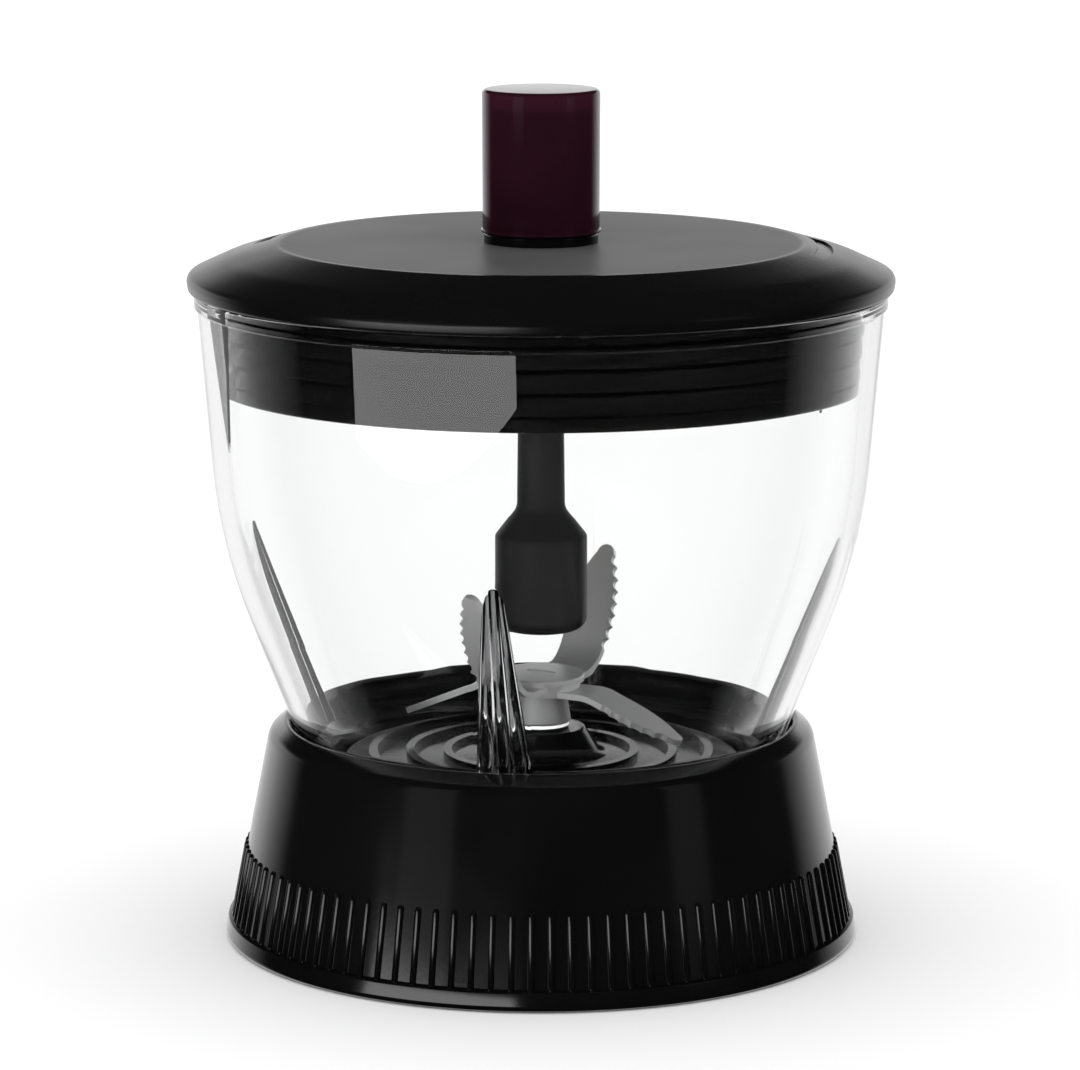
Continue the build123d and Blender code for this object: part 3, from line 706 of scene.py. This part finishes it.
@dataclass
class Jar:
    """The clear jar: turned wall, four pressed-in flow ribs and two keyways."""

    wall: float = 2.9
    neck_r: float = 41.0
    neck_top: float = 33.5
    foot: tuple[float, float] = (45.9, 38.9)
    belly: tuple[float, float] = (59.52, 74.27)
    rim_r: float = 63.42
    bead_r: float = 63.8
    bead_h: float = 2.8
    bead_ease: tuple[float, float] = (0.25, 0.4)
    rim_round: float = 0.7
    bends: tuple[float, float, float] = (3.0, 6.0, 105.0)
    fin_angle: float = radians(261.5)
    fin_z: tuple[float, float] = (38.0, 75.7)
    fin_foot: float = 41.6
    flute_r: tuple[float, float] = (2.1, 1.2)
    flute_pitch: tuple[float, float] = (3.1, 0.8)
    flute_round: float = 0.5
    fin_count: int = 4
    key_angle: float = radians(22)
    key_half: float = 3.85
    key_shoulder: float = 117.0
    key_tip: float = 94.4
    key_depth: float = 1.1
    key_run: float = 1.9
    key_draft: float = 0.35
    key_cut: float = 12.0
    key_count: int = 2
    crease: float = radians(24)
    neck_z: float = field(default_factory=lambda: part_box("jar")[0].z / MM)
    rim_z: float = field(default_factory=lambda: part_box("jar")[1].z / MM)

    def corners(self) -> list[tuple[float, float]]:
        """Corners of the jar's outside from the neck's foot to the rim."""
        neck = [(self.neck_r, self.neck_z), (self.neck_r, self.neck_top)]
        return [*neck, self.foot, self.belly, (self.rim_r, self.rim_z)]

    def inner_corners(self) -> list[tuple[float, float]]:
        """The same corners moved in by the wall's thickness."""
        line = [Vector(corner) for corner in self.corners()]
        normals = [Vector((-(b - a).y, (b - a).x)).normalized() for a, b in zip(line, line[1:])]
        moved = [line[0] + normals[0] * self.wall]
        for here, first, second in zip(line[1:-1], normals, normals[1:]):
            moved.append(here + (first + second) * self.wall / (1 + first.dot(second)))
        end = line[-1] + normals[-1] * self.wall
        slope = (end.x - moved[-1].x) / (end.y - moved[-1].y)
        moved.append(Vector((end.x + slope * (self.rim_z - end.y), self.rim_z)))
        return [tuple(point) for point in moved]

    def turned_wall(self) -> bpy.types.Object:
        """The jar's wall of revolution, closed at the neck's foot and the rim."""
        foot, neck, heel, belly, _ = self.corners()
        outside = [foot, (*neck, self.bends[0]), (*heel, self.bends[1]), (*belly, self.bends[2])]
        bead = [
            (self.rim_r - self.bead_ease[0], self.rim_z - self.bead_h - self.bead_ease[1], 0.3),
            (self.bead_r, self.rim_z - self.bead_h, 0.4),
            (self.bead_r, self.rim_z, self.rim_round),
        ]
        foot, neck, heel, belly, rim = self.inner_corners()
        neck_bend, heel_bend, belly_bend = self.bends
        inside = [
            (*rim, self.rim_round),
            (*belly, belly_bend - self.wall),
            (*heel, heel_bend - self.wall),
            (*neck, neck_bend + self.wall),
            foot,
        ]
        return lathe("jar_glass", rounded([*outside, *bead, *inside], step=radians(2.5)), steps=320)

    def flute(self, lane: int) -> bpy.types.Object:
        """One round flute of a flow rib, small high on the wall and swelling to the floor."""
        wall_r = self.inner_corners()[3][0]
        low = Vector((self.fin_foot + abs(lane), self.flute_pitch[0] * lane, self.fin_z[0]))
        top = Vector((wall_r, self.flute_pitch[1] * lane, self.fin_z[1] - abs(lane)))
        run = top - low
        clear_selection()
        bpy.ops.mesh.primitive_cone_add(
            vertices=48, radius1=self.flute_r[0] * MM, radius2=self.flute_r[1] * MM, depth=run.length * MM,
            location=(low + top) / 2 * MM, rotation=run.to_track_quat("Z", "Y").to_euler())
        flute = bpy.context.active_object
        bpy.ops.object.transform_apply(location=True, rotation=True, scale=True)
        select_faces(flute, lambda face: face.normal.z > 0.7 and face.center.z > self.fin_z[1] * MM * 0.95)
        bpy.ops.mesh.bevel(offset=self.flute_round * MM, segments=4, affect="EDGES")
        bpy.ops.object.mode_set(mode="OBJECT")
        return flute

    def keyway(self) -> bpy.types.Object:
        """Tapered prism that cuts one keyway in the mouth."""
        depth_r = self.inner_corners()[-1][0] + self.key_depth
        mouth_r = depth_r + self.key_draft
        above = self.rim_z + 1
        outline = [
            (depth_r - self.key_run, 0.0, self.key_tip),
            (depth_r, self.key_half, self.key_shoulder),
            (mouth_r, self.key_half, above),
            (mouth_r, -self.key_half, above),
            (depth_r, -self.key_half, self.key_shoulder),
        ]
        prism = loop("keyway_tool", [tuple(MM * value for value in point) for point in outline])
        bpy.ops.mesh.edge_face_add()
        bpy.ops.mesh.extrude_region_move(TRANSFORM_OT_translate={"value": (-self.key_cut * MM, 0, 0)})
        bpy.ops.object.mode_set(mode="OBJECT")
        return tidy_mesh(prism)

    def build(self) -> None:
        """Makes and dresses the jar."""
        jar = self.turned_wall()
        for lane in (-1, 0, 1):
            for flute in around(self.flute(lane), self.fin_count, self.fin_angle):
                carve(jar, flute, "UNION")
        for keyway in around(self.keyway(), self.key_count, self.key_angle):
            carve(jar, keyway, "DIFFERENCE")
        tidy_mesh(jar, self.crease)
        fit(jar, Body.JAR, GLASS, "clear_glass", "jar")


@dataclass
class Lid:
    """Gloss cover, plug, three-lip seal and the ring round the port."""

    edge_r: float = 65.2
    edge_z: float = 124.0
    plateau_r: float = 48.85
    flank: tuple[float, float, float] = (58.2, 127.2, 14.0)
    plateau_z: float = 129.8
    wall: float = 2.2
    port_r: float = 10.0
    plug_r: float = 58.71
    plug_foot: float = 103.9
    foot_h: float = 2.5
    seal_top: float = 119.0
    seal_bed: float = 3.2
    lips: int = 3
    lip_w: float = 1.3
    lip_squeeze: float = 0.35
    plug_wall: float = 2.0
    plug_lip: float = 0.4
    port_gap: float = 1.0
    ring_wall: float = 0.9
    ring_flange: float = 0.5
    ring_h: float = 1.9
    mouth_r: float = 59.06
    mouth_slope: float = 0.083
    mark_r: tuple[float, float] = (50.6, 53.6)
    mark_inset: float = 0.15
    mark_depth: float = 0.5
    mark_spans: tuple[tuple[float, float], ...] = ((-18.0, 12.0), (150.0, 172.0))
    rim_z: float = field(default_factory=lambda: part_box("jar")[1].z / MM)

    def flank_z(self, radius: float) -> float:
        """Height of the sloping flank at a radius."""
        share = (self.flank[0] - radius) / (self.flank[0] - self.plateau_r)
        return self.flank[1] + share * (self.plateau_z - self.flank[1])

    def cover(self) -> bpy.types.Object:
        """Flat plateau, sloping flank with two curved recesses, and a round rim."""
        recess = self.plug_r + 0.05
        marks = [(radius, self.flank_z(radius)) for radius in reversed(self.mark_r)]
        piece = lathe("lid_shell", rounded([
            (self.port_r, self.plateau_z - self.wall),
            (self.plateau_r, self.plateau_z - self.wall),
            (recess, self.flank[1] - self.wall - 0.3),
            (recess, self.rim_z, 0.3),
            (self.edge_r - 0.4, self.rim_z, 0.8),
            (self.edge_r, self.edge_z, 1.5),
            self.flank,
            *marks,
            (self.plateau_r, self.plateau_z, 1.7),
            (self.port_r, self.plateau_z, 0.2),
        ]), steps=288)
        for first, last in self.mark_spans:
            self.press_mark(piece, radians(first), radians(last))
        return tidy_mesh(piece)

    def press_mark(self, piece: bpy.types.Object, first: float, last: float) -> None:
        """Presses one shallow recess into the flank between two angles."""
        low, high = self.mark_r

        def in_mark(face: bpy.types.MeshPolygon) -> bool:
            """Whether a face lies in the recess."""
            radius = hypot(face.center.x, face.center.y) / MM
            angle = atan2(face.center.y, face.center.x)
            return low < radius < high and first < angle < last and face.normal.z > 0.5

        select_faces(piece, in_mark)
        bpy.ops.mesh.inset(thickness=self.mark_inset * MM)
        bpy.ops.transform.translate(value=(0, 0, -self.mark_depth * MM))
        bpy.ops.object.mode_set(mode="OBJECT")

    def plug(self) -> bpy.types.Object:
        """Dish inside the mouth, with the port's tube."""
        bed = self.plug_r - self.seal_bed
        tube_r = self.port_r - self.port_gap
        inner_r = bed - self.plug_wall
        outer_r = tube_r + self.plug_wall
        floor = self.plug_foot + self.plug_wall
        top = self.rim_z + self.plug_lip
        return lathe("plug_dish", rounded([
            (tube_r, self.plug_foot, 0.3),
            (self.plug_r, self.plug_foot, 0.6),
            (self.plug_r, self.plug_foot + self.foot_h, 0.3),
            (bed, self.plug_foot + self.foot_h),
            (bed, self.seal_top),
            (self.plug_r, self.seal_top),
            (self.plug_r, top),
            (inner_r, top),
            (inner_r, floor, 1.0),
            (outer_r, floor, 1.0),
            (outer_r, self.plateau_z - self.wall),
            (tube_r, self.plateau_z - self.wall),
        ]), steps=240)

    def seal(self) -> bpy.types.Object:
        """Silicone sleeve whose three lips lean out to the jar's wall."""
        foot = self.plug_foot + self.foot_h
        pitch = (self.seal_top - foot) / self.lips
        bed = self.plug_r - self.seal_bed
        outline = [(bed, foot)]
        lip = self.plug_r
        for i in range(self.lips):
            low = foot + i * pitch
            lip = self.mouth_r + self.mouth_slope * (low - self.plug_foot) - self.lip_squeeze
            outline += [
                (lip - self.lip_w, low),
                (lip, low + 0.5, 0.2),
                (lip, low + 1.5, 0.4),
                (lip - 0.45, low + pitch - 0.5, 0.2),
                (lip - self.lip_w, low + pitch - 0.2),
            ]
        outline += [(lip - self.lip_w, self.seal_top), (bed, self.seal_top)]
        return lathe("plug_seal", rounded(outline), steps=240)

    def ring(self) -> bpy.types.Object:
        """Black ring round the port, under the knob."""
        inner_r = self.port_r - self.ring_wall
        outer_r = self.port_r + self.ring_flange
        top = self.plateau_z + self.ring_h
        return lathe("port_ring", rounded([
            (inner_r, self.plateau_z - self.wall),
            (self.port_r, self.plateau_z - self.wall),
            (self.port_r, self.plateau_z),
            (outer_r, self.plateau_z, 0.2),
            (outer_r, top, 0.5),
            (inner_r, top, 0.3),
        ]), steps=120)

    def build(self) -> None:
        """Makes and dresses the lid."""
        fit(self.cover(), Body.LID, LID_BLACK, "black_gloss", "lid_cover")
        fit(self.plug(), Body.LID, PLUG_BLACK, "black_gloss", "lid_plug")
        fit(self.seal(), Body.LID, SILICONE, "seal_rubber", "lid_seal")
        fit(self.ring(), Body.LID, GLOSS_BLACK, "seal_rubber", "port_grommet")


@dataclass
class Pusher:
    """Knob over a moulded rod that hangs through the lid."""

    knob_r: float = 10.85
    knob_wall: float = 1.7
    flange_r: float = 11.05
    head_r: float = 8.6
    head_top: float = 75.2
    stem_foot: float = 80.5
    stem_r: tuple[float, float] = (4.5, 4.15)
    plug_r: float = 8.7
    plug_foot: float = 112.0
    seat_z: float = 131.7
    core_gap: float = 0.75
    crown_gap: float = 0.05
    flange_h: float = 0.6
    knob_draft: float = 0.1
    plug_taper: float = 2.0
    head_foot: float = field(default_factory=lambda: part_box("pusher_rod")[0].z / MM)
    top: float = field(default_factory=lambda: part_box("pusher_knob")[1].z / MM)

    def crown(self) -> float:
        """Height of the core's top, under the knob's thick crown."""
        return self.top - 2 * self.knob_wall

    def rod(self) -> bpy.types.Object:
        """Round head, waisted stem, port plug and the core inside the knob."""
        core = self.knob_r - self.knob_wall - self.core_gap
        return lathe("pusher_stem", rounded([
            (0, self.head_foot),
            (self.head_r, self.head_foot, 2.7),
            (self.head_r, self.head_top, 1.2),
            (self.stem_r[0], self.stem_foot, 3.0),
            (self.stem_r[1], self.plug_foot - self.plug_taper, 1.5),
            (self.plug_r, self.plug_foot, 0.5),
            (self.plug_r, self.seat_z),
            (core, self.seat_z),
            (core, self.crown(), 0.5),
            (0, self.crown()),
        ], step=radians(5)), steps=128)

    def knob(self) -> bpy.types.Object:
        """Clear cap with a thin flange at its foot."""
        bore = self.knob_r - self.knob_wall
        ceiling = self.crown() + self.crown_gap
        return lathe("knob_cap", rounded([
            (bore, self.seat_z),
            (self.flange_r, self.seat_z, 0.25),
            (self.flange_r, self.seat_z + self.flange_h, 0.25),
            (self.knob_r - self.knob_draft, self.seat_z + self.flange_h),
            (self.knob_r, self.top, 0.9),
            (0, self.top),
            (0, ceiling),
            (bore, ceiling, 0.5),
        ], step=radians(8)), steps=160)

    def build(self) -> None:
        """Makes and dresses the pusher."""
        fit(self.rod(), Body.PUSHER, SATIN_BLACK, "black_satin", "pusher_rod")
        fit(self.knob(), Body.PUSHER, MAROON, "maroon_clear", "pusher_knob")


@dataclass
class CarriedOver:
    """Finishes of the CAD nodes, which show where no detailed piece replaces them."""

    finishes: dict[str, Finish] = field(default_factory=lambda: {
        "black_satin": SATIN_BLACK,
        "black_gloss": GLOSS_BLACK,
        "seal_rubber": SILICONE,
        "coupler_plastic": NYLON,
        "blade_steel": BLADE_STEEL,
        "screw_steel": PLATED_STEEL,
        "bush_bronze": BRONZE,
        "clear_glass": GLASS,
        "maroon_clear": MAROON,
    })
    own: dict[str, Finish] = field(default_factory=lambda: {"blade_carrier": GLOSS_BLACK})

    def build(self) -> None:
        """Dresses every CAD node by its slot."""
        for part in frame["record"]["subparts"]:
            node = frame["nodes"][part["node"]]
            self.own.get(node.name, self.finishes[part["material_slot"]]).put_on(node)
            LOG.info("%s dressed", node.name)


@dataclass(frozen=True)
class Panel:
    """A soft rectangular light.

    Its spot, the point that it faces and its width and height are in metres, and its power is in watts.
    """

    name: str
    spot: tuple[float, float, float]
    aim: tuple[float, float, float]
    size: tuple[float, float]
    power: float

    def hang(self) -> None:
        """Adds the light to the scene, where neither sight nor glass shows it."""
        light = bpy.data.lights.new(self.name, "AREA")
        light.shape = "RECTANGLE"
        light.size, light.size_y = self.size
        light.energy = self.power
        lamp = bpy.data.objects.new(self.name, light)
        bpy.context.scene.collection.objects.link(lamp)
        lamp.location = self.spot
        lamp.rotation_euler = (Vector(self.aim) - Vector(self.spot)).to_track_quat("-Z", "Y").to_euler()
        lamp.visible_camera = False
        lamp.visible_transmission = False


@dataclass(frozen=True)
class Air:
    """Light from all round, whose level depends on how a ray has travelled.

    Sight and soft light find it white. A shine finds it dark, but for a low bright sweep behind the
    object, and a shine that starts inside the clear jar finds it bright behind and dark in front.
    """

    sight: float = 1.01
    soft_extra: float = 0.2
    glass_extra: float = 0.15
    bowl_extra: float = 8.0
    dark: float = 0.003
    trapped: float = 0.9
    last_wall: float = 3.5
    sweep_back: tuple[float, float] = (0.45, 0.8)
    sweep_rise: tuple[float, float] = (0.21, 0.32)
    beside: tuple[float, float] = (0.004, 0.95)
    beside_back: tuple[float, float] = (0.05, 0.5)

    def shone(self, paint: Paint, bounces: Shade, walls: Shade) -> Shade:
        """Level that a shine finds.

        Args:
            paint: The world's tree.
            bounces: Number of glossy bounces so far.
            walls: Number of glass surfaces passed so far.

        Returns:
            The level.
        """
        _, back, rise = paint.axes(paint.node("ShaderNodeTexCoord", "Generated"))
        behind = paint.span(back, 0.0, 1.0, *self.sweep_back)
        low = paint.span(rise, 1.0, 0.0, *self.sweep_rise)
        beside = paint.span(back, *self.beside, *self.beside_back)
        inside = (walls > 0.5) * (1 - (walls > self.last_wall))
        trapped = (walls > 0.5) * (bounces > 1.5)
        once = inside * beside + (1 - inside) * (behind * low + self.dark)
        return trapped * self.trapped + (1 - trapped) * once

    def seen(self, paint: Paint, walls: Shade) -> Shade:
        """Level that sight and soft light find, which is higher for what stands in the jar."""
        soft = paint.node("ShaderNodeLightPath", "Is Diffuse Ray")
        landed = paint.node("ShaderNodeLightPath", "Diffuse Depth") > 0.5
        bowl = (walls > 1.5) * (landed + soft - landed * soft)
        extra = soft * self.soft_extra + (walls > 0.5) * self.glass_extra + bowl * self.bowl_extra
        return extra + self.sight

    def fill(self) -> None:
        """Makes the world."""
        world = bpy.data.worlds.new("studio_air")
        world.use_nodes = True
        bpy.context.scene.world = world
        paint = Paint(world.node_tree)
        bounces = paint.node("ShaderNodeLightPath", "Glossy Depth")
        walls = paint.node("ShaderNodeLightPath", "Transmission Depth")
        shine = bounces > 0.5
        level = shine * self.shone(paint, bounces, walls) + (1 - shine) * self.seen(paint, walls)
        air = paint.node("ShaderNodeBackground", Color=(1, 1, 1, 1), Strength=level)
        paint.end("ShaderNodeOutputWorld", air)


@dataclass
class Studio:
    """White floor, soft panels and the camera."""

    camera_spot: tuple[float, float, float] = (-0.0002, -0.9018, 0.2426)
    tilt: float = radians(79.47)
    focal: float = 164.7
    sensor: float = 36.0
    floor_size: float = 14.0
    floor_spot: tuple[float, float, float] = (0, 3, -0.0002)
    panels: tuple[Panel, ...] = (
        Panel("left_soft", (-0.62, -0.62, 0.30), (0, 0, 0.06), (0.34, 0.42), 0.09),
        Panel("low_left", (-0.23, -0.33, 0.012), (0, 0, 0.11), (0.40, 0.08), 0.36),
        Panel("right_soft", (0.75, -0.45, 0.30), (0, 0, 0.06), (0.25, 0.40), 0.05),
    )

    def floor(self) -> None:
        """Wide plain floor that neither gloss nor glass shows."""
        clear_selection()
        bpy.ops.mesh.primitive_plane_add(size=self.floor_size, location=self.floor_spot)
        floor = named(bpy.context.active_object, "floor")
        FLOOR_WHITE.put_on(floor)
        floor.visible_glossy = False
        floor.visible_transmission = False

    def camera(self) -> None:
        """Long lens, slightly above the lid."""
        data = bpy.data.cameras.new("camera")
        data.lens = self.focal
        data.sensor_width = self.sensor
        camera = bpy.data.objects.new("camera", data)
        bpy.context.scene.collection.objects.link(camera)
        camera.location = self.camera_spot
        camera.rotation_euler = (self.tilt, 0, 0)
        bpy.context.scene.camera = camera

    def build(self) -> None:
        """Sets the scene round the object."""
        self.camera()
        self.floor()
        Air().fill()
        for panel in self.panels:
            panel.hang()
        bpy.context.scene.view_settings.view_transform = "Standard"


def main() -> None:
    """Builds the studio and each sub-assembly in order."""
    logging.basicConfig(level=logging.INFO, format="%(message)s")
    Studio().build()
    for assembly in (CarriedOver(), Collar(), Jar(), Lid(), Pusher()):
        assembly.build()
    clear_selection()


if __name__ == "__main__":
    main()
